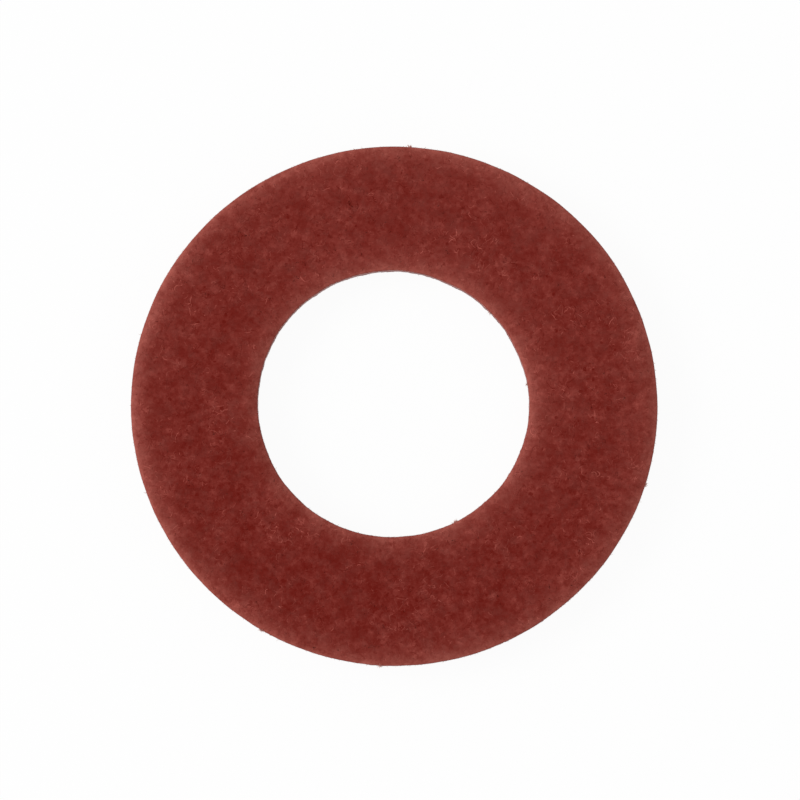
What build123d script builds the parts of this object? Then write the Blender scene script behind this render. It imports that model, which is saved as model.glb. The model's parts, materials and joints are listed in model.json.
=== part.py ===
from build123d import *
import os

# A punched washer of red vulcanised fibre: one flat ring with no moving parts.
# Units are millimetres and +Z is up. The origin is on the bore's axis, in the lower face.
# Hole and outline are punched in one stroke from one side, so both rolled rims are on
# the upper face and both broken edges are on the lower face.

# The ring
outer_diameter = 16.0
bore_diameter = 8.25  # clears an 8 mm screw by about 0.1 mm all round
thickness = 1.5

# The punch bends the upper rims down before the sheet shears
rollover_width = 0.45
rollover_depth = 0.12
rim_corner_radius = 0.08  # where a rolled rim meets its wall

# Above this height a wall is cut clean, and below it the sheet broke away,
# slanting into the ring by the gap between punch and die
breakaway_height = 0.5
die_gap = 0.04


def punched_edge(wall_radius: float, into_ring: int) -> tuple[Vector, Vector]:
    """Adds the section of one punched edge to the outline being drawn.

    Args:
        wall_radius: radius of the clean-cut wall.
        into_ring: +1 where the ring is outside the wall, -1 where it is inside.

    Returns:
        The edge's foot on the lower face and its crest on the upper face.
    """
    foot = Vector(wall_radius + into_ring * die_gap, 0)
    cut_bottom = Vector(wall_radius, breakaway_height)
    cut_top = Vector(wall_radius, thickness - rollover_depth)
    crest = Vector(wall_radius + into_ring * rollover_width, thickness)

    Line(foot, cut_bottom)
    Line(cut_bottom, cut_top)
    TangentArc(crest, cut_top, tangent=(-into_ring, 0))
    return foot, crest


def ring_section() -> Sketch:
    """Draws the ring's section on one side of the axis.

    Returns:
        The section, with the radius along X and the height along Y.
    """
    with BuildSketch() as section:
        with BuildLine():
            bore_foot, bore_crest = punched_edge(bore_diameter / 2, into_ring=1)
            outer_foot, outer_crest = punched_edge(outer_diameter / 2, into_ring=-1)
            Line(bore_foot, outer_foot)
            Line(bore_crest, outer_crest)
        make_face()
        corner_height = thickness - rollover_depth
        corners = section.vertices().filter_by_position(Axis.Y, corner_height, corner_height)
        fillet(corners, rim_corner_radius)
    return section.sketch


def fibre_washer() -> Part:
    """Builds the washer by turning its section about the bore's axis.

    Returns:
        The washer as one solid.
    """
    return revolve(Plane.XZ * ring_section(), axis=Axis.Z)


os.makedirs("parts", exist_ok=True)
export_step(fibre_washer(), "parts/fibre_washer.step")
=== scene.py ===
"""Looks of a punched washer of red vulcanised fibre, lying on a pale floor.

The ring is a dense mesh with the true punched section, and the fibres of its matted
sheet are real strands: pressed into both faces, torn out of the cut walls and standing
off the edges. Everything is in metres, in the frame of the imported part.
"""

import json
import logging
import math
from dataclasses import dataclass
from enum import Enum
from itertools import product

import bpy
import numpy as np
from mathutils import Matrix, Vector


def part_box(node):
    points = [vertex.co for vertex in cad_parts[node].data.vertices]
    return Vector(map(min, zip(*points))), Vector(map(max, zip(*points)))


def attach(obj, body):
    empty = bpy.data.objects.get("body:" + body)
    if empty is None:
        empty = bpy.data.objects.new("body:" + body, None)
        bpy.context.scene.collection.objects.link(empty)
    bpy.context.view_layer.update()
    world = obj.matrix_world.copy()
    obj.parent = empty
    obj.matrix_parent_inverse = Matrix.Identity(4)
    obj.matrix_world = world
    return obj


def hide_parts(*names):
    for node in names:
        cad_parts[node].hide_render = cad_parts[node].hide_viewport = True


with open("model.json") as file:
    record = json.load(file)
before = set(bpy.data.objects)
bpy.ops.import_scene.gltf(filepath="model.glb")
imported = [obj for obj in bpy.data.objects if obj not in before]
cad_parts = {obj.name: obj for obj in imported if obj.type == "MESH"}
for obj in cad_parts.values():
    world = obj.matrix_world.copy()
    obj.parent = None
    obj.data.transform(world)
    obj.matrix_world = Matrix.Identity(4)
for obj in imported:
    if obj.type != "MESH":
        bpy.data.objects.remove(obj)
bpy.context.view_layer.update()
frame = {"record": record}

log = logging.getLogger("fibre_washer")

MM = 0.001
NODE = "fibre_washer"
BODY = "root"
FLAT_MAP = "OFBake"

# The photograph, in its own pixels
PHOTO_SIDE = 800
OUTLINE_CENTRE = (394.4, 405.8)
OUTLINE_DIAMETER = 523.3

Socket = bpy.types.NodeSocket
Colour = tuple[float, float, float, float]
Triple = tuple[float, float, float]


class Region(Enum):
    """The four surfaces of the ring that carry fibres."""

    UPPER_FACE = "upper_face"
    LOWER_FACE = "lower_face"
    OUTER_WALL = "outer_wall"
    BORE_WALL = "bore_wall"

    @property
    def is_face(self) -> bool:
        """Whether it is one of the two faces."""
        return self in (Region.UPPER_FACE, Region.LOWER_FACE)


class LatticeNoise:
    """Smooth random field over space, from gradients on a lattice."""

    def __init__(self, seed: int) -> None:
        """Draws the lattice's gradients.

        Args:
            seed: number that fixes the field.
        """
        rng = np.random.default_rng(seed)
        self.order = rng.permutation(256)
        gradients = rng.normal(size=(256, 3))
        self.gradients = gradients / np.linalg.norm(gradients, axis=1, keepdims=True)

    def at(self, points: np.ndarray) -> np.ndarray:
        """Reads the field.

        Args:
            points: places, one row of three numbers each, in cells of the lattice.

        Returns:
            The field there, about -0.7 to 0.7.
        """
        cell = np.floor(points).astype(int)
        inside = points - cell
        fade = inside**3 * (inside * (inside * 6 - 15) + 10)
        total = np.zeros(len(points))
        for corner in product((0, 1), repeat=3):
            x, y, z = (cell + corner).T
            pick = self.order[(self.order[(self.order[x & 255] + y) & 255] + z) & 255]
            slope = ((inside - corner) * self.gradients[pick]).sum(axis=1)
            share = np.where(corner, fade, 1 - fade).prod(axis=1)
            total += slope * share
        return total


@dataclass(frozen=True)
class Waves:
    """A random field with finer and finer copies of itself added, each half as long as the last."""

    wavelength: float
    copies: int
    gain: float
    height: float = 1.0
    shift: float = 17.3

    def at(self, noise: LatticeNoise, points: np.ndarray) -> np.ndarray:
        """Reads the sum of all copies.

        Args:
            noise: the random field.
            points: places in metres, one row of three numbers each.

        Returns:
            The sum there, about -1 to 1 times the height.
        """
        total = np.zeros(len(points))
        for copy in range(self.copies):
            total += self.gain**copy * noise.at(points * (2**copy / self.wavelength) + self.shift * copy)
        return total * self.height


@dataclass(frozen=True)
class PunchedSection:
    """Section of the ring on one side of its axis, as the die leaves it."""

    outer_radius: float
    bore_radius: float
    thickness: float
    rollover_width: float = 0.45 * MM
    rollover_depth: float = 0.12 * MM
    rim_corner_radius: float = 0.08 * MM
    breakaway_height: float = 0.5 * MM
    die_gap: float = 0.04 * MM
    foot_softness: float = 0.025 * MM
    foot_steps: int = 3
    slant_steps: int = 7
    land_steps: int = 10
    corner_steps: int = 5
    rim_steps: int = 8

    @property
    def arc_radius(self) -> float:
        """Radius of the rolled rim's arc."""
        width, depth = self.rollover_width, self.rollover_depth
        return (width**2 + depth**2) / (2 * depth)

    @property
    def corner_centre_height(self) -> float:
        """Height of the soft rim corner's centre, where the clean-cut wall ends.

        Returns:
            The height above the lower face, in metres.
        """
        reach = self.arc_radius - self.rim_corner_radius
        across = self.rollover_width - self.rim_corner_radius
        return self.thickness - self.arc_radius + math.sqrt(reach**2 - across**2)

    @property
    def corner_end(self) -> float:
        """Distance from the wall at which the soft corner meets the rolled rim.

        Returns:
            The distance, in metres.
        """
        radius, corner = self.arc_radius, self.rim_corner_radius
        across = self.rollover_width - corner
        return self.rollover_width - across * radius / (radius - corner)

    def wall(self, region: Region) -> tuple[float, int]:
        """A cut wall's radius, with +1 if it faces outwards or -1 if it faces the axis."""
        return (self.outer_radius, 1) if region is Region.OUTER_WALL else (self.bore_radius, -1)

    def inset(self, radius: np.ndarray) -> np.ndarray:
        """Distance of each point from the nearer wall, from its distance from the axis."""
        return np.minimum(radius - self.bore_radius, self.outer_radius - radius)

    def upper_height(self, inset: np.ndarray) -> np.ndarray:
        """Height of the upper face.

        Args:
            inset: distance from the nearer wall, in metres.

        Returns:
            The height at each place.
        """
        inset = np.maximum(inset, 0)
        across = np.maximum(self.rollover_width - inset, 0)
        arc = self.thickness - self.arc_radius + np.sqrt(self.arc_radius**2 - across**2)
        corner = self.rim_corner_radius
        fall = np.clip(corner - inset, 0, corner)
        rounded = self.corner_centre_height + np.sqrt(corner**2 - fall**2)
        return np.where(inset < self.corner_end, rounded, arc)

    def wall_inset(self, height: np.ndarray) -> np.ndarray:
        """How far the wall stands back from its clean-cut land.

        Args:
            height: height above the lower face, in metres.

        Returns:
            The distance into the ring at each height.
        """
        slant = np.clip(1 - height / self.breakaway_height, 0, 1) * self.die_gap
        corner = self.rim_corner_radius
        rise = np.clip(height - self.corner_centre_height, 0, corner)
        return slant + corner - np.sqrt(corner**2 - rise**2)

    def edge_outline(self) -> list[tuple[float, float]]:
        """Lists the punched edge's outline from the foot to the crest.

        Returns:
            Pairs of distance into the ring and height.
        """
        foot, corner, centre = self.foot_softness, self.rim_corner_radius, self.corner_centre_height
        turn = [math.pi / 2 * step / self.foot_steps for step in range(self.foot_steps + 1)]
        points = [(self.die_gap + foot * (1 - math.sin(a)), foot * (1 - math.cos(a))) for a in turn]
        slant = np.linspace(foot, self.breakaway_height, self.slant_steps + 1)[1:]
        land = np.linspace(self.breakaway_height, centre, self.land_steps + 1)[1:]
        points += [(self.wall_inset(height), height) for height in (*slant, *land)]
        end = math.acos((corner - self.corner_end) / corner)
        for angle in np.linspace(0, end, self.corner_steps + 1)[1:]:
            points.append((corner * (1 - math.cos(angle)), centre + corner * math.sin(angle)))
        rim = np.linspace(self.corner_end, self.rollover_width, self.rim_steps + 1)[1:]
        return points + [(inset, self.upper_height(inset)) for inset in rim]

    def loop(self, upper_rows: int, lower_rows: int) -> np.ndarray:
        """Lists the whole section's outline, once round.

        Args:
            upper_rows: steps across the flat of the upper face.
            lower_rows: steps across the lower face.

        Returns:
            Rows of radius and height, from the bore's foot over the upper face and
            back along the lower face.
        """
        edge = self.edge_outline()
        bore = [(self.bore_radius + inset, height) for inset, height in edge]
        outer = [(self.outer_radius - inset, height) for inset, height in reversed(edge)]
        upper = np.linspace(bore[-1][0], outer[0][0], upper_rows + 1)[1:-1]
        lower = np.linspace(outer[-1][0], bore[0][0], lower_rows + 1)[1:-1]
        flat = [(radius, self.thickness) for radius in upper]
        base = [(radius, 0.0) for radius in lower]
        return np.array(bore + flat + outer + base)


@dataclass(frozen=True)
class PunchedShape:
    """How the punched ring differs from a true circle once the sheet has dried."""

    section: PunchedSection
    outer_oval: float = 0.0070
    outer_oval_turn: float = math.radians(-3)
    bore_oval: float = 0.0098
    bore_oval_turn: float = math.radians(-8)
    bore_trefoil: float = 0.0039
    bore_trefoil_turn: float = math.radians(110)
    bore_run_out: tuple[float, float] = (-0.041 * MM, 0.068 * MM)
    bore_spring_back: float = 0.0048
    waver: Waves = Waves(6.0 * MM, 4, 1.0)
    outer_waver: float = 0.012 * MM
    bore_waver: float = 0.027 * MM
    waver_fall: int = 6
    seed: int = 5

    def place(self, radius: np.ndarray, angle: np.ndarray) -> tuple[np.ndarray, np.ndarray]:
        """Moves points of the true ring to where they are on the real one.

        Args:
            radius: distance from the axis on the true ring.
            angle: direction from the axis, in radians.

        Returns:
            The x and y of each point.
        """
        inner, outer = self.section.bore_radius, self.section.outer_radius
        outward = np.clip((radius - inner) / (outer - inner), 0, 1)
        inward = 1 - outward
        bore_growth = (
            self.bore_oval * np.cos(2 * (angle - self.bore_oval_turn))
            + self.bore_trefoil * np.cos(3 * (angle - self.bore_trefoil_turn))
            - self.bore_spring_back
        )
        outer_growth = self.outer_oval * np.cos(2 * (angle - self.outer_oval_turn))
        round_edge = np.column_stack([np.cos(angle), np.sin(angle), np.zeros(len(angle))])
        noise = LatticeNoise(self.seed)
        outer_shift = self.waver.at(noise, round_edge * outer) * self.outer_waver
        bore_shift = self.waver.at(noise, -round_edge * inner) * self.bore_waver
        real = radius * (1 + bore_growth * inward + outer_growth * outward)
        real = real + bore_shift * inward**self.waver_fall + outer_shift * outward**self.waver_fall
        x = real * np.cos(angle) + self.bore_run_out[0] * inward
        y = real * np.sin(angle) + self.bore_run_out[1] * inward
        return x, y


@dataclass(frozen=True)
class SheetRelief:
    """Small heights of the sheet's surface and of its cut walls."""

    section: PunchedSection
    face: Waves = Waves(0.9 * MM, 4, 0.8, 0.0035 * MM)
    score: Waves = Waves(0.22 * MM, 2, 0.6, 0.0025 * MM)
    upright: Triple = (1, 1, 0.12)
    torn: Waves = Waves(0.22 * MM, 2, 0.6, 0.028 * MM)
    tear_edge: Waves = Waves(0.7 * MM, 2, 0.7, 0.16 * MM)
    tear_width: float = 0.12 * MM
    ply_pitch: float = 0.17 * MM
    ply_depth: float = 0.009 * MM
    ply_wander: float = 0.5
    wander_length: float = 1.5 * MM
    seed: int = 41

    def height(self, points: np.ndarray, on_wall: np.ndarray) -> np.ndarray:
        """Reads how far the surface stands out along its normal.

        Args:
            points: places on the smooth ring, in metres.
            on_wall: 1 on the cut walls, 0 on the two faces, between at the corners.

        Returns:
            The height at each place, in metres.
        """
        noise = LatticeNoise(self.seed)
        wander = noise.at(points / self.wander_length) * self.ply_wander
        ply = np.sin((points[:, 2] / self.ply_pitch + wander) * 2 * math.pi) * self.ply_depth
        above = points[:, 2] + self.tear_edge.at(noise, points) - self.section.breakaway_height
        low = 1 - np.clip(0.5 + above / self.tear_width, 0, 1)
        score = self.score.at(noise, points * self.upright)
        wall = score * (1 - low) + (self.torn.at(noise, points) + ply) * low
        return self.face.at(noise, points) * (1 - on_wall) + wall * on_wall


@dataclass(frozen=True)
class Surface:
    """The real ring's surfaces, which the body and every strand are laid on."""

    section: PunchedSection
    shape: PunchedShape
    relief: SheetRelief
    torn_edge_squeeze: float = 4.0

    def pale_inset(self, radius: np.ndarray, lower: bool | np.ndarray) -> np.ndarray:
        """Distance from the nearer wall, stretched on the lower face, whose pale edge is narrower."""
        return self.section.inset(radius) * np.where(lower, self.torn_edge_squeeze, 1)

    def on_face(self, region: Region, across: np.ndarray, lift: float | np.ndarray) -> np.ndarray:
        """Lays points on the upper or the lower face.

        Args:
            region: which face.
            across: rows of x and y on the true ring, in metres.
            lift: height above the surface, in metres.

        Returns:
            Rows of x, y and z.
        """
        radius = np.hypot(across[:, 0], across[:, 1])
        angle = np.arctan2(across[:, 1], across[:, 0])
        x, y = self.shape.place(radius, angle)
        lower = region is Region.LOWER_FACE
        z = np.zeros(len(radius)) if lower else self.section.upper_height(self.section.inset(radius))
        swell = self.relief.height(np.column_stack([x, y, z]), np.zeros(len(radius)))
        return np.column_stack([x, y, np.maximum(-swell - lift, 0) if lower else z + swell + lift])

    def on_wall(self, region: Region, across: np.ndarray, lift: float | np.ndarray) -> np.ndarray:
        """Lays points on one of the two cut walls.

        Args:
            region: which wall.
            across: rows of distance round the wall and height, in metres.
            lift: distance out of the wall, in metres.

        Returns:
            Rows of x, y and z.
        """
        wall, out = self.section.wall(region)
        angle = across[:, 0] / wall
        height = np.clip(across[:, 1], 0, self.section.thickness - self.section.rollover_depth)
        x, y = self.shape.place(wall - out * self.section.wall_inset(height), angle)
        rough = self.relief.height(np.column_stack([x, y, height]), np.ones(len(height)))
        reach = out * (rough + lift)
        return np.column_stack([x + np.cos(angle) * reach, y + np.sin(angle) * reach, height])

    def lay(self, region: Region, across: np.ndarray, lift: float | np.ndarray) -> np.ndarray:
        """Lays points on any region, as on_face and on_wall do."""
        return (self.on_face if region.is_face else self.on_wall)(region, across, lift)


def new_piece(name: str, points: np.ndarray, faces: np.ndarray,
              material: bpy.types.Material) -> bpy.types.Object:
    """Makes a smooth mesh piece, in place on the washer's body.

    Args:
        name: the piece's name.
        points: rows of x, y and z, in metres.
        faces: rows of corner numbers, all faces with as many corners.
        material: its finish.

    Returns:
        The new object, riding on the body.
    """
    mesh = bpy.data.meshes.new(name)
    mesh.from_pydata(points.tolist(), [], faces.tolist())
    mesh.polygons.foreach_set("use_smooth", np.ones(len(mesh.polygons), bool))
    mesh.materials.append(material)
    mesh.update()
    piece = bpy.data.objects.new(name, mesh)
    bpy.context.scene.collection.objects.link(piece)
    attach(piece, BODY)
    return piece


def add_values(piece: bpy.types.Object, name: str, values: np.ndarray) -> None:
    """Stores one number for each point of a piece, for its finish to read."""
    attribute = piece.data.attributes.new(name, "FLOAT", "POINT")
    attribute.data.foreach_set("value", values.astype(np.float32))


def add_flat_map(piece: bpy.types.Object, places: np.ndarray) -> None:
    """Stores where each corner of each face lies on the flat pattern, in rows of two numbers from 0 to 1."""
    layer = piece.data.uv_layers.new(name=FLAT_MAP)
    layer.data.foreach_set("uv", places.astype(np.float32).ravel())


def strand_faces(count: int, joints: int) -> np.ndarray:
    """Lists the triangles of closed three-sided strands.

    Args:
        count: how many strands.
        joints: points along each strand; each has a left, a top and a right corner.

    Returns:
        Rows of three corner numbers, strand by strand: along each strand the left, the
        right and the lower side in turn, two triangles each, and then the two ends.
    """
    triangles = []
    for joint, corner in product(range(joints - 1), range(3)):
        a, b = 3 * joint + corner, 3 * joint + (corner + 1) % 3
        triangles += [(a, b, b + 3), (a, b + 3, a + 3)]
    last = 3 * (joints - 1)
    triangles += [(2, 1, 0), (last, last + 1, last + 2)]
    first = np.arange(count) * joints * 3
    return (first[:, None, None] + np.array(triangles)).reshape(-1, 3)


def strand_map(count: int, joints: int) -> np.ndarray:
    """Lays every strand out flat, in a cell of its own.

    Args:
        count: how many strands.
        joints: points along each strand.

    Returns:
        Places on the flat pattern for the corners of strand_faces, in its order.
    """
    left, top, right, left_again = 0.06, 0.44, 0.82, 0.96
    end, cap = 0.06, 0.04
    across = (left, top, right, left_again)
    along = np.linspace(end + cap, 1 - end - cap, joints)
    spots = []
    for joint, corner in product(range(joints - 1), range(3)):
        a, b = (along[joint], across[corner]), (along[joint], across[corner + 1])
        c, d = (along[joint + 1], across[corner + 1]), (along[joint + 1], across[corner])
        spots += [a, b, c, a, c, d]
    spots += [(along[0], right), (along[0] - cap, top), (along[0], left)]
    spots += [(along[-1], left), (along[-1] + cap, top), (along[-1], right)]
    wide = math.ceil(math.sqrt(count / 2))
    high = math.ceil(count / wide)
    number = np.arange(count)
    cell = np.column_stack([number % wide, number // wide])[:, None, :]
    return ((cell + np.array(spots)) / (wide, high)).reshape(-1, 2)


def new_strands(name: str, corners: np.ndarray, tone: np.ndarray, inset: np.ndarray,
                material: bpy.types.Material) -> bpy.types.Object:
    """Makes one piece of many thin closed strands.

    Args:
        name: the piece's name.
        corners: places in metres, by strand, joint, corner (left, top, right) and axis.
        tone: how pale each strand is.
        inset: distance of each joint from the nearer wall, in metres, by strand and joint.
        material: the strands' finish.

    Returns:
        The piece.
    """
    count, joints = corners.shape[:2]
    piece = new_piece(name, corners.reshape(-1, 3), strand_faces(count, joints), material)
    lower_side = np.tile([False] * 4 + [True] * 2, joints - 1)
    smooth = ~np.tile(np.concatenate([lower_side, [True, True]]), count)
    piece.data.polygons.foreach_set("use_smooth", smooth)
    add_flat_map(piece, strand_map(count, joints))
    add_values(piece, "tone", np.repeat(tone, joints * 3))
    add_values(piece, "inset", np.repeat(inset.ravel(), 3) / MM)
    return piece


@dataclass(frozen=True)
class WasherBody:
    """The ring itself."""

    surface: Surface
    columns: int = 700
    upper_rows: int = 42
    lower_rows: int = 34
    map_wall_share: float = 0.5
    map_gap: float = 0.12 * MM

    def build(self, material: bpy.types.Material) -> bpy.types.Object:
        """Turns the section round the axis and lays the relief on it.

        Args:
            material: the ring's finish.

        Returns:
            The ring's object, standing for the CAD node.
        """
        loop = self.surface.section.loop(self.upper_rows, self.lower_rows)
        turn = np.arange(self.columns) * (2 * math.pi / self.columns)
        angle, radius = (a.ravel() for a in np.meshgrid(turn, loop[:, 0], indexing="ij"))
        height = np.tile(loop[:, 1], self.columns)
        ahead, behind = np.roll(loop, -1, axis=0), np.roll(loop, 1, axis=0)
        along = (ahead - behind) / np.linalg.norm(ahead - behind, axis=1, keepdims=True)
        out, up = np.tile(-along[:, 1], self.columns), np.tile(along[:, 0], self.columns)
        on_wall = out**2
        x, y = self.surface.shape.place(radius, angle)
        rise = self.surface.relief.height(np.column_stack([x, y, height]), on_wall)
        points = np.column_stack([
            x + np.cos(angle) * out * rise,
            y + np.sin(angle) * out * rise,
            np.maximum(height + up * rise, 0),
        ])
        piece = new_piece("washer_body", points, self.faces(len(loop)), material)
        add_flat_map(piece, self.flat_pattern(loop))
        add_values(piece, "inset", self.surface.pale_inset(radius, height <= 0) / MM)
        add_values(piece, "on_wall", on_wall)
        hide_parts(NODE)
        return piece

    def faces(self, rows: int) -> np.ndarray:
        """Lists the faces between neighbouring columns and rows, closed both ways round.

        Args:
            rows: points in each column.

        Returns:
            Rows of four corner numbers.
        """
        column, row = np.meshgrid(np.arange(self.columns), np.arange(rows), indexing="ij")
        here, there = column * rows, (column + 1) % self.columns * rows
        ahead = (row + 1) % rows
        return np.stack([here + row, there + row, there + ahead, here + ahead], axis=-1).reshape(-1, 4)

    def flat_pattern(self, loop: np.ndarray) -> np.ndarray:
        """Lays the ring's skin out flat: the upper face between its walls, the lower face in the hole.

        Args:
            loop: the section's outline, rows of radius and height.

        Returns:
            Places on the flat pattern, face by face and corner by corner.
        """
        section = self.surface.section
        closed = np.vstack([loop, loop[:1]])
        steps = np.abs(np.diff(closed, axis=0)) @ (1, self.map_wall_share)
        upper = len(loop) - self.lower_rows
        rim = section.outer_radius + self.map_wall_share * section.thickness
        reach = rim - steps[:upper].sum() + np.concatenate([[0], np.cumsum(steps[:upper])])
        shrink = (reach[0] - self.map_gap) / section.outer_radius
        near = np.concatenate([reach[:-1], closed[upper:-1, 0] * shrink])[:, None]
        far = np.concatenate([reach[1:], closed[upper + 1:, 0] * shrink])[:, None]
        turn = np.arange(self.columns + 1) * (2 * math.pi / self.columns)
        here, there = (np.column_stack([np.cos(a), np.sin(a)])[:, None] for a in (turn[:-1], turn[1:]))
        corners = np.stack([here * near, there * near, there * far, here * far], axis=2)
        return 0.5 + corners.reshape(-1, 2) * (0.5 / (rim + self.map_gap))


@dataclass(frozen=True)
class StrandMat:
    """Fibres of the matted sheet that lie in one surface of the ring."""

    surface: Surface
    region: Region
    count: int
    seed: int
    joints: int = 8
    shortest: float = 0.12 * MM
    typical_length: float = 0.26 * MM
    longest: float = 0.90 * MM
    length_spread: float = 0.45
    thinnest: float = 0.011 * MM
    thickest: float = 0.021 * MM
    tip_taper: float = 0.75
    curl: float = 8.0 / MM
    wriggle: float = 1.3
    lift: float = 0.005 * MM
    flattest: float = 0.4
    sink: float = 0.003 * MM
    tone_shape: float = 1.7
    tone_scale: float = 0.59
    palest: float = 3.1
    darker_share: float = 0.29
    darker_tone: float = 1.5
    torn_share: float = 0.75
    torn_reach: float = 1.2

    def starts(self, rng: np.random.Generator) -> np.ndarray:
        """Scatters the fibres' middles over the surface, on a wall mostly over its torn part.

        Args:
            rng: source of random numbers.

        Returns:
            Rows of two numbers on the surface.
        """
        section = self.surface.section
        if self.region.is_face:
            radius = np.sqrt(rng.uniform(section.bore_radius**2, section.outer_radius**2, self.count))
            angle = rng.uniform(0, 2 * math.pi, self.count)
            return np.column_stack([radius * np.cos(angle), radius * np.sin(angle)])
        round_wall = rng.uniform(0, 2 * math.pi * section.wall(self.region)[0], self.count)
        torn = rng.uniform(size=self.count) < self.torn_share
        top = np.where(torn, section.breakaway_height * self.torn_reach, section.corner_centre_height)
        return np.column_stack([round_wall, rng.uniform(0, 1, self.count) * top])

    def inside(self, across: np.ndarray) -> np.ndarray:
        """Moves whole strands so that they stay on their surface.

        Args:
            across: places along the strands' middles, by strand, joint and axis.

        Returns:
            The same places, moved where a strand had left the surface.
        """
        section, margin = self.surface.section, self.thickest
        if self.region.is_face:
            edge = section.rim_corner_radius if self.region is Region.UPPER_FACE else section.die_gap
            middle = across.mean(axis=1, keepdims=True)
            reach = np.hypot(across[..., 0], across[..., 1])
            low = section.bore_radius + edge + margin - reach.min(axis=1)
            high = section.outer_radius - edge - margin - reach.max(axis=1)
            outward = middle / np.linalg.norm(middle, axis=-1, keepdims=True)
            return across + outward * (np.maximum(low, 0) + np.minimum(high, 0))[:, None, None]
        low = margin - across[..., 1].min(axis=1)
        high = section.corner_centre_height - margin - across[..., 1].max(axis=1)
        return across + np.stack([0 * low, np.maximum(low, 0) + np.minimum(high, 0)], axis=-1)[:, None]

    def inset(self, across: np.ndarray) -> np.ndarray:
        """Measures how far points are from the nearer wall.

        Args:
            across: places on the surface, with two numbers in the last axis.

        Returns:
            The distances in metres, none on the walls themselves.
        """
        if not self.region.is_face:
            return np.zeros(across.shape[:-1])
        radius = np.hypot(across[..., 0], across[..., 1])
        return self.surface.pale_inset(radius, self.region is Region.LOWER_FACE)

    def build(self, name: str, material: bpy.types.Material) -> bpy.types.Object:
        """Lays every fibre on the surface as a thin closed strand.

        Args:
            name: the piece's name.
            material: the fibres' finish.

        Returns:
            The piece that holds them all.
        """
        rng, count, joints = np.random.default_rng(self.seed), self.count, self.joints
        start = self.starts(rng)
        length = rng.lognormal(math.log(self.typical_length), self.length_spread, count)
        length = np.clip(length, self.shortest, self.longest)
        width = rng.uniform(self.thinnest, self.thickest, count)
        step = (length / (joints - 1))[:, None]
        bend = rng.normal(0, self.curl, (count, 1)) + rng.normal(0, self.curl * self.wriggle, (count, joints))
        heading = rng.uniform(0, 2 * math.pi, (count, 1)) + np.cumsum(bend * step, axis=1)
        along = np.stack([np.cos(heading), np.sin(heading)], axis=-1)
        centre = start[:, None, :] + np.cumsum(along * step[..., None], axis=1)
        centre = self.inside(centre - centre.mean(axis=1, keepdims=True) + start[:, None, :])
        side = np.stack([-along[..., 1], along[..., 0]], axis=-1)
        from_middle = np.abs(np.linspace(-1, 1, joints))
        half = (width[:, None] * (1 - self.tip_taper * from_middle**3))[..., None]
        arch = rng.uniform(self.flattest, 1.0, (count, 1)) * self.lift * (1 - from_middle**2.5)
        ridge = arch - self.sink * 0.5 * from_middle**4

        def laid(across: np.ndarray, lift: float | np.ndarray) -> np.ndarray:
            """Lays points of every strand on the surface, lift above it."""
            return self.surface.lay(self.region, across.reshape(-1, 2), lift).reshape(count, joints, 3)

        left, right = laid(centre + side * half, -self.sink), laid(centre - side * half, -self.sink)
        corners = np.stack([left, laid(centre, ridge.ravel()), right], axis=2)
        tone = rng.gamma(self.tone_shape, self.tone_scale, count).clip(0, self.palest)
        tone[rng.uniform(size=count) < self.darker_share] *= -self.darker_tone
        return new_strands(name, corners, tone, self.inset(centre), material)


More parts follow.
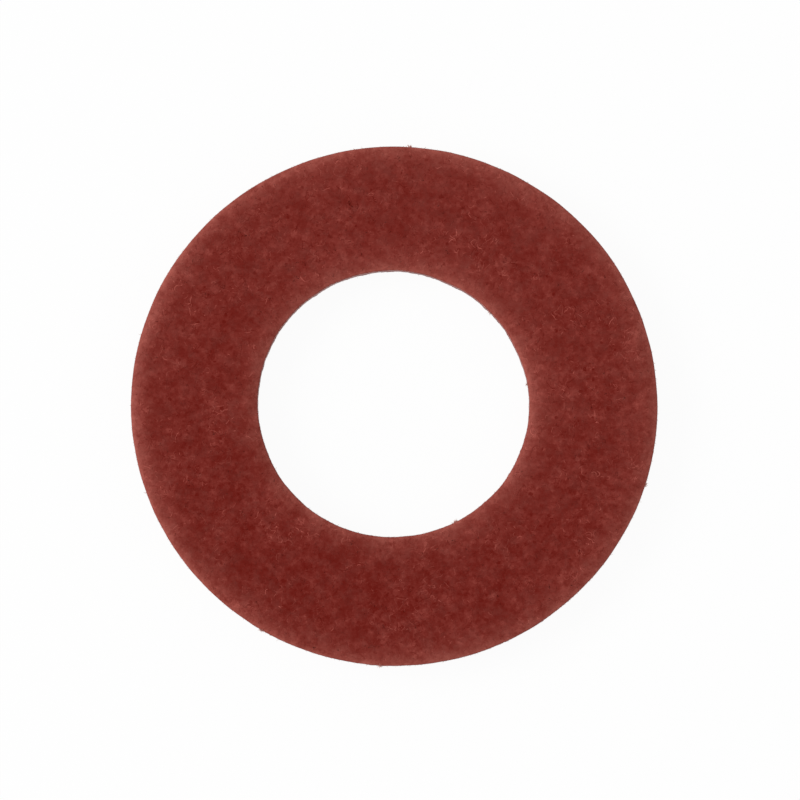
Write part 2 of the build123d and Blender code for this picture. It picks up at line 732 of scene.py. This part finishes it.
@dataclass(frozen=True)
class EdgeFuzz:
    """Short fibres that stand off the punched edges, and the few torn tufts among them."""

    surface: Surface
    outer_count: int = 2200
    bore_count: int = 1100
    joints: int = 5
    seed: int = 23
    typical_length: float = 0.026 * MM
    length_spread: float = 0.5
    longest: float = 0.105 * MM
    highest: float = 0.02 * MM
    root_depth: float = 0.006 * MM
    half_width: tuple[float, float] = (0.003 * MM, 0.006 * MM)
    tip_taper: float = 0.7
    tones: tuple[float, float] = (0.5, 3.5)
    lean: float = 0.8
    bend: float = 1.1
    rim_share: float = 0.6
    rim_reach: tuple[float, float] = (-0.4, 0.8)
    torn_reach: tuple[float, float] = (0.03, 0.8)
    tuft_fibres: int = 34
    tuft_length: float = 0.080 * MM
    tuft_lengths: tuple[float, float] = (0.5, 1.4)
    tuft_heights: tuple[float, float] = (-0.06, 0.05)
    tuft_spread: float = 0.024 * MM
    tuft_width: float = 1.7
    tuft_bend: float = 2.4
    outer_tufts: tuple[float, ...] = (-17.4, 86.5, -93.1, -120.7)
    bore_tufts: tuple[float, ...] = (43.3, 8.4, -62.2)

    def roots(self, rng: np.random.Generator, wall: float, count: int,
              tufts: tuple[float, ...]) -> np.ndarray:
        """Chooses where the fibres of one edge are rooted.

        Args:
            rng: source of random numbers.
            wall: the wall's radius, in metres.
            count: how many single fibres.
            tufts: directions of the tufts, in degrees.

        Returns:
            Rows of direction in radians, height in metres and length in metres.
        """
        section = self.surface.section
        corner = section.corner_centre_height
        rim = rng.uniform(size=count) < self.rim_share
        low = rng.uniform(*self.torn_reach, count) * section.breakaway_height
        high = corner + rng.uniform(*self.rim_reach, count) * section.rim_corner_radius
        angle = rng.uniform(0, 2 * math.pi, count)
        length = rng.lognormal(math.log(self.typical_length), self.length_spread, count)
        single = np.column_stack([angle, np.where(rim, high, low), length])
        total = len(tufts) * self.tuft_fibres
        middle = np.repeat(np.radians(tufts), self.tuft_fibres)
        angle = middle + rng.normal(0, self.tuft_spread / wall, total)
        height = corner + rng.uniform(*self.tuft_heights, total) * MM
        length = rng.uniform(*self.tuft_lengths, total) * self.tuft_length
        return np.vstack([single, np.column_stack([angle, height, length])])

    def edge(self, rng: np.random.Generator, region: Region) -> np.ndarray:
        """Grows the fibres of one edge.

        Args:
            rng: source of random numbers.
            region: the wall they stand on.

        Returns:
            Their corners in metres, by strand, joint, corner and axis.
        """
        section = self.surface.section
        wall, out = section.wall(region)
        count, tufts = (self.outer_count, self.outer_tufts) if out > 0 else (self.bore_count, self.bore_tufts)
        angle, height, length = self.roots(rng, wall, count, tufts).T
        length = np.minimum(length, self.longest)
        total = len(angle)
        in_tuft = np.arange(total) >= count
        root = self.surface.on_wall(region, np.column_stack([angle * wall, height]), -self.root_depth)
        away = np.column_stack([np.cos(angle) * out, np.sin(angle) * out, np.zeros(total)])
        share = np.linspace(0, 1, self.joints)[None, :, None]
        bend = rng.normal(0, 1, (total, 3)) * np.where(in_tuft, self.tuft_bend, self.bend)[:, None]
        leaning = away + rng.normal(0, self.lean, (total, 3)) * (1, 1, 0.5)
        heading = leaning[:, None, :] + bend[:, None, :] * share
        heading /= np.linalg.norm(heading, axis=-1, keepdims=True)
        step = length[:, None, None] / (self.joints - 1)
        centre = root[:, None, :] + np.cumsum(heading * step, axis=1) - heading[:, :1] * step
        along = np.gradient(centre, axis=1)
        across = np.cross(along, (0.0, 0.0, 1.0))
        across /= np.maximum(np.linalg.norm(across, axis=-1, keepdims=True), 1e-9)
        upward = np.cross(across, along)
        upward /= np.maximum(np.linalg.norm(upward, axis=-1, keepdims=True), 1e-9)
        widths = rng.uniform(*self.half_width, (total, 1, 1))
        widths[in_tuft] *= self.tuft_width
        half = widths * (1 - self.tip_taper * share)
        left, right = (centre + side * half - upward * half * 0.5 for side in (across, -across))
        corners = np.stack([left, centre + upward * half, right], axis=2)
        corners[..., 2] = np.clip(corners[..., 2], 0, section.thickness + self.highest)
        return corners

    def build(self, name: str, material: bpy.types.Material) -> bpy.types.Object:
        """Grows the fibres of both edges.

        Args:
            name: the piece's name.
            material: the fibres' finish.

        Returns:
            The piece that holds them all.
        """
        rng = np.random.default_rng(self.seed)
        corners = np.concatenate([self.edge(rng, wall) for wall in (Region.OUTER_WALL, Region.BORE_WALL)])
        tone = rng.uniform(*self.tones, len(corners))
        return new_strands(name, corners, tone, np.zeros(corners.shape[:2]), material)


@dataclass(frozen=True)
class Grain:
    """Cloudy noise: its coarsest wave in millimetres, its finer waves and their strength."""

    wavelength: float
    detail: float
    roughness: float = 0.5


class NodeSheet:
    """The nodes of a material or of the world, with short calls to add to them."""

    def __init__(self, owner: bpy.types.Material | bpy.types.World) -> None:
        """Starts with no nodes.

        Args:
            owner: what the nodes belong to.
        """
        owner.use_nodes = True
        self.owner = owner
        self.tree = owner.node_tree
        self.tree.nodes.clear()

    def add(self, kind: str, inputs: dict | None = None, **settings: object) -> bpy.types.Node:
        """Adds a node.

        Args:
            kind: the node's type name.
            inputs: a value or an output socket for each input, by name or number.
            settings: the node's own settings.

        Returns:
            The new node.
        """
        node = self.tree.nodes.new(kind)
        for key, value in settings.items():
            setattr(node, key, value)
        for key, value in (inputs or {}).items():
            if isinstance(value, Socket):
                self.tree.links.new(value, node.inputs[key])
            else:
                node.inputs[key].default_value = value
        return node

    def math(self, operation: str, *values: object, clamp: bool = False) -> Socket:
        """Adds a sum, product or the like of one to three values, kept from 0 to 1 if clamped."""
        node = self.add("ShaderNodeMath", dict(enumerate(values)), operation=operation, use_clamp=clamp)
        return node.outputs[0]

    def vector(self, operation: str, *values: object) -> Socket:
        """Adds vector maths, whose result is a number where the operation gives one."""
        node = self.add("ShaderNodeVectorMath", dict(enumerate(values)), operation=operation)
        return node.outputs["Value" if operation in ("DOT_PRODUCT", "LENGTH") else "Vector"]

    def ramp(self, value: Socket, low: object, high: object) -> Socket:
        """Adds a smooth step from 0 at low to 1 at high, which may be below low."""
        limits = {"Value": value, "From Min": low, "From Max": high}
        return self.add("ShaderNodeMapRange", limits, interpolation_type="SMOOTHSTEP").outputs["Result"]

    def value(self, name: str) -> Socket:
        """Adds a number stored on the mesh's points."""
        return self.add("ShaderNodeAttribute", attribute_name=name).outputs["Fac"]

    def spot(self) -> Socket:
        """Adds the place on the washer, in millimetres."""
        return self.vector("MULTIPLY", self.add("ShaderNodeTexCoord").outputs["Object"], (1 / MM,) * 3)

    def levelled(self, spot: Socket) -> Socket:
        """Adds the place without its height."""
        return self.vector("MULTIPLY", spot, (1.0, 1.0, 0.0))

    def blend(self, share: Socket, first: object, second: object) -> Socket:
        """Adds a blend of two colours, with the second one's share from 0 to 1."""
        return self.add("ShaderNodeMix", {0: share, 6: first, 7: second}, data_type="RGBA").outputs[2]

    def texture(self, spot: Socket, grain: Grain) -> bpy.types.Node:
        """Adds a cloudy texture."""
        waves = {"Scale": 1 / grain.wavelength, "Detail": grain.detail, "Roughness": grain.roughness}
        return self.add("ShaderNodeTexNoise", {"Vector": spot, **waves})

    def noise(self, spot: Socket, grain: Grain) -> Socket:
        """Adds cloudy noise, about -0.5 to 0.5."""
        return self.math("SUBTRACT", self.texture(spot, grain).outputs["Fac"], 0.5)

    def swirled(self, spot: Socket, grain: Grain, reach: float) -> Socket:
        """Adds the place shifted to and fro by the grain, as far as the reach."""
        return self.vector("MULTIPLY_ADD", self.texture(spot, grain).outputs["Color"], (reach,) * 3, spot)

    def mosaic(self, spot: Socket, cell: float,
               dimensions: str = "3D") -> tuple[bpy.types.Node, list[Socket]]:
        """Adds a random mosaic.

        Args:
            spot: where it is read, in millimetres.
            cell: a cell's usual size, in millimetres.
            dimensions: "2D" or "3D".

        Returns:
            The mosaic's node, and random numbers from 0 to 1 of each cell's own.
        """
        inputs = {"Vector": spot, "Scale": 1 / cell}
        cells = self.add("ShaderNodeTexVoronoi", inputs, voronoi_dimensions=dimensions)
        return cells, self.add("ShaderNodeSeparateColor", {0: cells.outputs["Color"]}).outputs


@dataclass(frozen=True)
class DrawnFibres:
    """One layer of short fibres drawn in the finish, one to a cell of a random mosaic."""

    cell: float
    half_width: float
    shift: float
    strength: float
    shift_slope: float = -0.7
    solid_width: float = 0.2
    reach: float = 0.62
    solid_reach: float = 0.35
    rarity: float = 1.5

    def shown(self, sheet: NodeSheet, bent: Socket) -> Socket:
        """Draws the layer.

        Args:
            sheet: the material.
            bent: the place in millimetres, without its height, shifted so that the fibres curve.

        Returns:
            How strongly a fibre shows, 0 to 1.
        """
        moved = sheet.vector("ADD", bent, (self.shift, self.shift_slope * self.shift, 0.0))
        cells, chance = sheet.mosaic(moved, self.cell, "2D")
        back = (-self.cell, -self.cell, 0.0)
        to_centre = sheet.vector("MULTIPLY_ADD", cells.outputs["Position"], back, moved)
        turn = sheet.math("MULTIPLY", chance[0], math.tau)
        aim = sheet.add("ShaderNodeCombineXYZ", {0: sheet.math("COSINE", turn), 1: sheet.math("SINE", turn)})
        along = sheet.vector("DOT_PRODUCT", to_centre, aim.outputs[0])
        beside = sheet.vector("LENGTH", sheet.vector("CROSS_PRODUCT", to_centre, aim.outputs[0]))
        line = sheet.ramp(beside, self.half_width, self.solid_width * self.half_width)
        ends = sheet.ramp(sheet.math("ABSOLUTE", along), self.reach * self.cell, self.solid_reach * self.cell)
        drawn = sheet.math("MULTIPLY", line, ends)
        return sheet.math("MULTIPLY", drawn, sheet.math("POWER", chance[1], self.rarity))


@dataclass(frozen=True)
class Flocks:
    """Flocks of fibres that took up more or less of the dye than their neighbours."""

    size: float
    ragged: float
    gain: float
    tears: float = 1.1

    def shown(self, sheet: NodeSheet, spot: Socket) -> Socket:
        """Adds each flock's own shade, about -0.5 to 0.5."""
        torn = sheet.swirled(spot, Grain(self.size / self.tears, 3.0, 0.7), self.ragged)
        return sheet.math("SUBTRACT", sheet.mosaic(torn, self.size)[1][0], 0.5)


@dataclass(frozen=True)
class Pinholes:
    """Sparse dark pinholes between the fibres."""

    spacing: float = 1 / 3.4
    largest: float = 0.080
    core: float = 0.4
    fray: Grain = Grain(1 / 9, 1.0)
    fray_reach: float = 0.10
    gain: float = -0.30

    def shown(self, sheet: NodeSheet, spot: Socket) -> Socket:
        """Adds the pinholes.

        Args:
            sheet: the material.
            spot: the place, in millimetres.

        Returns:
            How strongly a pinhole shows, 0 to 1.
        """
        cells, chance = sheet.mosaic(sheet.swirled(spot, self.fray, self.fray_reach), self.spacing)
        reach = sheet.math("MULTIPLY", cells.outputs["Distance"], self.spacing)
        size = sheet.math("MULTIPLY", chance[1], self.largest)
        hole = sheet.ramp(reach, size, sheet.math("MULTIPLY", size, self.core))
        return sheet.math("MULTIPLY", hole, chance[1])


@dataclass(frozen=True)
class CutMarks:
    """Where the wall is cut clean and where it is torn, and the marks there."""

    land: Socket
    torn: Socket
    marks: Socket


@dataclass(frozen=True)
class CutWall:
    """How the punch leaves a wall: upright score marks over torn plies."""

    torn_below: float = 0.50
    fade: tuple[float, float] = (0.03, -0.05)
    tear: Grain = Grain(0.5, 4.0, 0.7)
    tear_height: float = 1.2
    score: Grain = Grain(0.09, 3.0, 0.8)
    upright: Triple = (1.0, 1.0, 0.06)
    plies: Grain = Grain(0.16, 3.0, 0.8)
    lying: Triple = (0.35, 0.35, 1.6)

    def marked(self, sheet: NodeSheet, spot: Socket) -> CutMarks:
        """Adds the clean-cut and the torn share of the wall, and the marks of both.

        Args:
            sheet: the material.
            spot: the place, in millimetres.

        Returns:
            The shares, 0 to 1, and the marks, about -0.5 to 0.5.
        """
        wall = sheet.value("on_wall")
        height = sheet.add("ShaderNodeSeparateXYZ", {0: spot}).outputs[2]
        ragged = sheet.math("MULTIPLY_ADD", sheet.noise(spot, self.tear), self.tear_height, height)
        none, full = (self.torn_below + step for step in self.fade)
        torn = sheet.math("MULTIPLY", wall, sheet.ramp(ragged, none, full))
        land = sheet.math("SUBTRACT", wall, torn)
        score = sheet.noise(sheet.vector("MULTIPLY", spot, self.upright), self.score)
        plies = sheet.noise(sheet.vector("MULTIPLY", spot, self.lying), self.plies)
        marks = sheet.math("MULTIPLY_ADD", torn, plies, sheet.math("MULTIPLY", land, score))
        return CutMarks(land, torn, marks)


@dataclass(frozen=True)
class MatteFinish:
    """What all finishes of the fibre share: a fine relief and a faint gloss."""

    gloss_level: float = 0.10

    def shade(self, sheet: NodeSheet, colour: Socket, roughness: Socket, height: Socket,
              strength: float, depth: float) -> bpy.types.Material:
        """Ends a material.

        Args:
            sheet: the material's nodes.
            colour: its colour.
            roughness: its roughness.
            height: its relief.
            strength: how strongly the relief shows.
            depth: how deep the relief is, in millimetres.

        Returns:
            The material.
        """
        bump = sheet.add("ShaderNodeBump", {"Strength": strength, "Distance": depth * MM, "Height": height})
        shader = sheet.add("ShaderNodeBsdfPrincipled", {
            "Base Color": colour, "Roughness": roughness, "Normal": bump.outputs["Normal"],
            "Specular IOR Level": self.gloss_level,
        })
        sheet.add("ShaderNodeOutputMaterial", {"Surface": shader.outputs[0]})
        return sheet.owner


@dataclass(frozen=True)
class RedFibre(MatteFinish):
    """The dyed, matted fibre: a deep red with a paler veil of fibres over it."""

    deep_red: Colour = (0.1345, 0.0035, 0.0002, 1)
    pale_red: Colour = (0.468, 0.1070, 0.0840, 1)
    # Paler red blended in at the punched edges and on the walls: partly drier, paler fibre and partly a
    # painted sheen.
    dry_red_and_sheen: Colour = (0.500, 0.1380, 0.1060, 1)
    brown: Colour = (0.150, 0.0340, 0.0260, 1)
    usual_tone: float = 0.104
    tone_swing: float = 0.172
    contrast: float = 6.5
    shades: Grain = Grain(2.2, 1.0, 0.8)
    shade_gain: float = 0.080
    clouds: Grain = Grain(0.45, 4.0, 0.85)
    cloud_gain: float = 0.517
    flocks: Flocks = Flocks(0.34, 0.60, 0.036)
    lint: Flocks = Flocks(0.13, 0.22, 0.095)
    pinholes: Pinholes = Pinholes()
    browning: Grain = Grain(0.40, 3.0, 0.8)
    brown_gain: float = 1.2
    usual_brown: float = 0.05
    stroke_gain: float = 0.21
    strand_gain: float = 0.088
    clumping: float = 5.0
    patches: Grain = Grain(1.1, 2.0, 0.8)
    patch_place: Triple = (37.0, -11.0, 5.0)
    patchiness: float = 11.5
    least_clumped: float = 0.1
    drawn_layers: tuple[DrawnFibres, ...] = (
        DrawnFibres(0.40, 0.020, 3.1, 0.9),
        DrawnFibres(0.29, 0.018, 11.7, 0.9),
        DrawnFibres(0.20, 0.016, 29.3, 0.9),
        DrawnFibres(0.14, 0.014, 41.9, 0.8),
        DrawnFibres(0.26, 0.016, 57.3, -1.5),
        DrawnFibres(0.15, 0.014, 71.1, -1.9),
        DrawnFibres(0.11, 0.012, 83.9, -1.8),
    )
    curl: Grain = Grain(0.20, 1.0)
    curl_reach: float = 0.15
    # Painted light: the tone turns paler along this slope across the ring, and more steeply round the bore,
    # fading away outwards from the bore.
    painted_light_slope: Triple = (0.0005, 0.0036, 0.0)
    painted_bore_light: Triple = (0.0085, 0.0092, 0.0)
    bore_light_start: float = 4.1
    bore_light_fade: float = 0.85
    # How much of the edges' paler red shows, which is partly painted sheen, and how it spreads in from the
    # walls.
    rim_share: float = 0.40
    rim_height: float = 1.386
    rim_left: float = 0.0418
    rim_bend: float = 0.75
    rim_clouds: Grain = Grain(0.4, 4.0, 0.9)
    rim_unevenness: float = 2.9
    rim_patchiness: float = 0.9
    rim_contrast: float = 4.9
    wall: CutWall = CutWall()
    wall_calm: float = 6.5
    torn_paleness: float = 0.20
    land_paleness: float = -0.04
    mark_gain: float = 1.1
    mark_depth: float = 2.5
    body_grain: Grain = Grain(0.12, 3.0, 0.7)
    body_roughness: tuple[float, float] = (0.25, 0.60)
    land_polish: float = -0.16
    torn_roughness: float = 0.14
    strand_grain: Grain = Grain(0.05, 2.0, 0.6)
    strand_roughness: tuple[float, float] = (0.2, 0.55)

    def rim(self, sheet: NodeSheet) -> Socket:
        """Adds how near a punched edge the place is.

        Args:
            sheet: the material.

        Returns:
            1 at the edges, falling to 0 on the flat of the faces.
        """
        inset = sheet.math("MAXIMUM", sheet.value("inset"), 0.0)
        left = sheet.math("POWER", self.rim_left, sheet.math("POWER", inset, self.rim_bend))
        return sheet.math("MULTIPLY", left, self.rim_height, clamp=True)

    def add_painted_light(self, sheet: NodeSheet, spot: Socket, tone: Socket) -> Socket:
        """Adds painted light to the tone: paler along a slope across the ring, and more steeply on one side
        of the bore.

        Args:
            sheet: the material.
            spot: the place, in millimetres.
            tone: the tone without the painted light.

        Returns:
            The tone, 0 to 1.
        """
        from_axis = sheet.vector("LENGTH", sheet.levelled(spot))
        fade = sheet.math("MULTIPLY_ADD", from_axis, -1 / self.bore_light_fade, self.bore_light_start / self.bore_light_fade)
        near_bore = sheet.math("EXPONENT", fade)
        tone = sheet.math("MULTIPLY_ADD", sheet.vector("DOT_PRODUCT", spot, self.painted_bore_light), near_bore, tone)
        return sheet.math("ADD", tone, sheet.vector("DOT_PRODUCT", spot, self.painted_light_slope), clamp=True)

    def colour(self, sheet: NodeSheet, spot: Socket, extra: Socket, cut: CutMarks | None = None) -> Socket:
        """Adds the dyed fibre's colour, with painted light over it: paler towards one side of the ring and of
        the bore, and a paler red at the edges and walls that is partly a painted sheen.

        Args:
            sheet: the material.
            spot: the place, in millimetres.
            extra: how far a fibre there is paler than the sheet.
            cut: the cut's marks, where the piece has walls.

        Returns:
            The colour.
        """
        shade = sheet.math("MULTIPLY", sheet.noise(spot, self.shades), self.shade_gain)
        clouds = sheet.math("MULTIPLY_ADD", sheet.noise(spot, self.clouds), self.cloud_gain, shade)
        clumped = sheet.math("MULTIPLY_ADD", clouds, self.clumping / self.cloud_gain, 1.0)
        patches = sheet.noise(sheet.vector("SUBTRACT", spot, self.patch_place), self.patches)
        clumped = sheet.math("MULTIPLY_ADD", patches, self.patchiness, clumped)
        clumped = sheet.math("MAXIMUM", clumped, self.least_clumped)
        uneven = clouds
        for marks in (self.flocks, self.lint, self.pinholes):
            uneven = sheet.math("MULTIPLY_ADD", marks.shown(sheet, spot), marks.gain, uneven)
        rim = self.rim(sheet)
        contrast = sheet.math("MULTIPLY_ADD", rim, self.rim_contrast, self.contrast)
        if cut:
            on_wall = sheet.math("ADD", cut.land, cut.torn)
            contrast = sheet.math("MULTIPLY_ADD", on_wall, -self.wall_calm, contrast)
        fibres = sheet.math("MULTIPLY", sheet.math("MULTIPLY", extra, clumped), contrast)
        veil = sheet.math("EXPONENT", sheet.math("MULTIPLY", uneven, contrast))
        veil = sheet.math("ADD", veil, fibres)
        tone = sheet.math("MULTIPLY_ADD", veil, self.tone_swing, self.usual_tone - self.tone_swing)
        if cut:
            tone = sheet.math("MULTIPLY_ADD", cut.land, self.land_paleness, tone)
            tone = sheet.math("MULTIPLY_ADD", cut.torn, self.torn_paleness, tone)
            tone = sheet.math("MULTIPLY_ADD", cut.marks, self.mark_gain, tone)
        # Painted light: the tone is made paler towards one side of the ring and of the bore.
        dyed = sheet.blend(self.add_painted_light(sheet, spot, tone), self.deep_red, self.pale_red)
        brown = sheet.noise(spot, self.browning)
        brown = sheet.math("MULTIPLY_ADD", brown, self.brown_gain, self.usual_brown, clamp=True)
        dyed = sheet.blend(brown, dyed, self.brown)
        # The edges and walls are blended towards a paler red: partly drier fibre, partly a painted sheen.
        patchy = sheet.math("MULTIPLY_ADD", sheet.noise(spot, self.rim_clouds), self.rim_unevenness, 1.0)
        patchy = sheet.math("MULTIPLY_ADD", patches, self.rim_patchiness, patchy)
        share = sheet.math("MULTIPLY", sheet.math("MULTIPLY", rim, patchy), self.rim_share, clamp=True)
        return sheet.blend(share, dyed, self.dry_red_and_sheen)

    def body(self) -> bpy.types.Material:
        """Makes the finish of the ring itself.

        Returns:
            The material.
        """
        sheet = NodeSheet(bpy.data.materials.new("matted_red_fibre"))
        spot = sheet.spot()
        bent = sheet.levelled(sheet.swirled(spot, self.curl, self.curl_reach))
        drawn = 0.0
        for layer in self.drawn_layers:
            drawn = sheet.math("MULTIPLY_ADD", layer.shown(sheet, bent), layer.strength, drawn)
        cut = self.wall.marked(sheet, spot)
        colour = self.colour(sheet, spot, sheet.math("MULTIPLY", drawn, self.stroke_gain), cut)
        grain = sheet.noise(spot, self.body_grain)
        height = sheet.math("MULTIPLY_ADD", cut.marks, self.mark_depth, grain)
        roughness = sheet.math("MULTIPLY_ADD", grain, *self.body_roughness)
        roughness = sheet.math("MULTIPLY_ADD", cut.land, self.land_polish, roughness)
        roughness = sheet.math("MULTIPLY_ADD", cut.torn, self.torn_roughness, roughness, clamp=True)
        return self.shade(sheet, colour, roughness, height, strength=1.0, depth=0.005)

    def strand(self) -> bpy.types.Material:
        """Makes the finish of the separate fibres, each paler than the sheet by its own tone.

        Returns:
            The material.
        """
        sheet = NodeSheet(bpy.data.materials.new("pale_fibre_strand"))
        spot = sheet.spot()
        colour = self.colour(sheet, spot, sheet.math("MULTIPLY", sheet.value("tone"), self.strand_gain))
        grain = sheet.noise(spot, self.strand_grain)
        roughness = sheet.math("MULTIPLY_ADD", grain, *self.strand_roughness, clamp=True)
        return self.shade(sheet, colour, roughness, grain, strength=0.5, depth=0.002)


@dataclass(frozen=True)
class FrayedFibre(MatteFinish):
    """Single fibres that stand off the edges, from dyed to nearly bare."""

    dyed: Colour = (0.460, 0.1600, 0.1250, 1)
    bare: Colour = (0.700, 0.4000, 0.3450, 1)
    grain: Grain = Grain(0.06, 3.0, 0.7)
    unevenness: float = 1.5
    bareness: float = 0.3
    roughness: tuple[float, float] = (0.2, 0.60)

    def strand(self) -> bpy.types.Material:
        """Makes the finish.

        Returns:
            The material.
        """
        sheet = NodeSheet(bpy.data.materials.new("frayed_fibre"))
        grain = sheet.noise(sheet.spot(), self.grain)
        uneven = sheet.math("MULTIPLY", grain, self.unevenness)
        bare = sheet.math("MULTIPLY_ADD", sheet.value("tone"), self.bareness, uneven)
        colour = sheet.blend(sheet.math("MAXIMUM", bare, 0.0, clamp=True), self.dyed, self.bare)
        roughness = sheet.math("MULTIPLY_ADD", grain, *self.roughness, clamp=True)
        return self.shade(sheet, colour, roughness, grain, strength=0.4, depth=0.001)


@dataclass(frozen=True)
class Studio:
    """The pale floor, the soft light and the camera over the washer."""

    section: PunchedSection
    white: Colour = (1, 1, 1, 1)
    sky_level: float = 0.60
    key_watts: float = 0.78
    key_place: Triple = (-0.26, 0.04, 0.26)
    key_side: float = 0.22
    floor_side: float = 1.2
    floor_drop: float = 0.002 * MM
    floor_grey: Colour = (0.86, 0.86, 0.86, 1)
    shadow_share: float = 0.05
    contact_reach: float = 0.05 * MM
    camera_distance: float = 0.30
    camera_tilt: float = math.radians(1.5)
    sensor: float = 36.0
    view_range: tuple[float, float] = (0.01, 10.0)

    def build(self) -> None:
        """Makes the stage, the lights and the camera."""
        for step in (self.floor, self.sky, self.key_light, self.camera):
            step()

    def floor(self) -> None:
        """Lays a pale floor that shows white but keeps a soft shadow.

        For a view from below it is clear, and it lets light up to what lies on it.
        """
        sheet = NodeSheet(bpy.data.materials.new("pale_floor"))
        path = sheet.add("ShaderNodeLightPath").outputs
        indirect = sheet.math("MAXIMUM", path["Is Glossy Ray"], path["Is Transmission Ray"])
        seen = sheet.math("MAXIMUM", path["Is Camera Ray"], indirect)
        matte = sheet.add("ShaderNodeBsdfDiffuse", {"Color": self.floor_grey})
        glow = sheet.add("ShaderNodeEmission", {"Color": self.white, "Strength": 1.0})
        share = sheet.math("MULTIPLY", seen, 1 - self.shadow_share)
        lit = sheet.add("ShaderNodeMixShader", {0: share, 1: matte.outputs[0], 2: glow.outputs[0]})
        clear = sheet.add("ShaderNodeBsdfTransparent")
        back = sheet.add("ShaderNodeNewGeometry").outputs["Backfacing"]
        below = sheet.math("MULTIPLY", back, path["Is Camera Ray"])
        touching = sheet.math("LESS_THAN", path["Ray Length"], self.contact_reach)
        gone = sheet.math("MAXIMUM", below, touching)
        look = sheet.add("ShaderNodeMixShader", {0: gone, 1: lit.outputs[0], 2: clear.outputs[0]})
        sheet.add("ShaderNodeOutputMaterial", {"Surface": look.outputs[0]})
        half = self.floor_side / 2
        corners = [(x * half, y * half, -self.floor_drop) for x, y in ((-1, -1), (1, -1), (1, 1), (-1, 1))]
        mesh = bpy.data.meshes.new("floor")
        mesh.from_pydata(corners, [], [range(4)])
        mesh.materials.append(sheet.owner)
        floor = bpy.data.objects.new("floor", mesh)
        bpy.context.scene.collection.objects.link(floor)

    def sky(self) -> None:
        """Surrounds the washer with even white light, which the camera sees as white."""
        world = bpy.data.worlds.new("studio")
        bpy.context.scene.world = world
        sheet = NodeSheet(world)
        seen = sheet.add("ShaderNodeLightPath").outputs["Is Camera Ray"]
        light = sheet.add("ShaderNodeBackground", {"Color": self.white, "Strength": self.sky_level})
        backdrop = sheet.add("ShaderNodeBackground", {"Color": self.white, "Strength": 1.0})
        look = sheet.add("ShaderNodeMixShader", {0: seen, 1: light.outputs[0], 2: backdrop.outputs[0]})
        sheet.add("ShaderNodeOutputWorld", {"Surface": look.outputs[0]})

    def place(self, name: str, data: bpy.types.ID, spot: Vector, towards: Vector) -> bpy.types.Object:
        """Puts a lamp or camera in the scene.

        Args:
            name: its name.
            data: the lamp or camera.
            spot: where it goes.
            towards: the direction that it faces.

        Returns:
            The new object.
        """
        thing = bpy.data.objects.new(name, data)
        thing.location = spot
        thing.rotation_mode = "QUATERNION"
        thing.rotation_quaternion = towards.to_track_quat("-Z", "Y")
        bpy.context.scene.collection.objects.link(thing)
        return thing

    def key_light(self) -> None:
        """Hangs one large soft lamp on the left."""
        lamp = bpy.data.lights.new("key", "AREA")
        lamp.energy = self.key_watts
        lamp.shape = "DISK"
        lamp.size = self.key_side
        spot = Vector(self.key_place)
        self.place("key", lamp, spot, -spot)

    def camera(self) -> None:
        """Puts the camera over the washer, framed as in the photograph."""
        pixel = 2 * self.section.outer_radius / OUTLINE_DIAMETER
        right = (PHOTO_SIDE / 2 - OUTLINE_CENTRE[0]) * pixel
        up = (OUTLINE_CENTRE[1] - PHOTO_SIDE / 2) * pixel
        back = Vector((0, -math.sin(self.camera_tilt), math.cos(self.camera_tilt)))
        data = bpy.data.cameras.new("camera")
        data.sensor_width = self.sensor
        data.lens = self.sensor * self.camera_distance / (PHOTO_SIDE * pixel)
        data.clip_start, data.clip_end = self.view_range
        spot = Vector((right, up, self.section.thickness)) + back * self.camera_distance
        bpy.context.scene.camera = self.place("camera", data, spot, -back)
        bpy.context.scene.view_settings.view_transform = "Standard"


def packed_section() -> PunchedSection:
    """Reads the ring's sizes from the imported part.

    Returns:
        The section.
    """
    low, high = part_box(NODE)
    bore = next(m for m in frame["record"]["mounts"] if m["kind"] == "bore")
    return PunchedSection(
        outer_radius=max(high.x, high.y),
        bore_radius=bore["dims"]["r_mm"] * MM,
        thickness=high.z - low.z,
    )


def main() -> None:
    """Builds the washer piece by piece, and the studio round it."""
    logging.basicConfig(level=logging.INFO, format="%(message)s")
    section = packed_section()
    surface = Surface(section, PunchedShape(section), SheetRelief(section))
    finish = RedFibre()
    Studio(section).build()
    log.info("studio ready")
    body = WasherBody(surface).build(finish.body())
    log.info("%s: %d points", body.name, len(body.data.vertices))
    strand = finish.strand()
    lint = {"joints": 5, "darker_share": 0.48, "curl": 12.0 / MM,
            "shortest": 0.06 * MM, "typical_length": 0.12 * MM}
    torn = {"typical_length": 0.15 * MM}
    mats = (
        ("upper_face_fibres", Region.UPPER_FACE, 4400, 7, {}),
        ("upper_face_lint", Region.UPPER_FACE, 7000, 6, lint),
        ("lower_face_fibres", Region.LOWER_FACE, 2200, 8, {}),
        ("outer_wall_fibres", Region.OUTER_WALL, 2400, 9, torn),
        ("bore_wall_fibres", Region.BORE_WALL, 1200, 10, torn),
    )
    for name, region, count, seed, sizes in mats:
        piece = StrandMat(surface, region, count, seed, **sizes).build(name, strand)
        log.info("%s: %d strands, %d triangles", name, count, len(piece.data.polygons))
    fuzz = EdgeFuzz(surface).build("edge_fuzz", FrayedFibre().strand())
    log.info("%s: %d triangles", fuzz.name, len(fuzz.data.polygons))


if __name__ == "__main__":
    main()
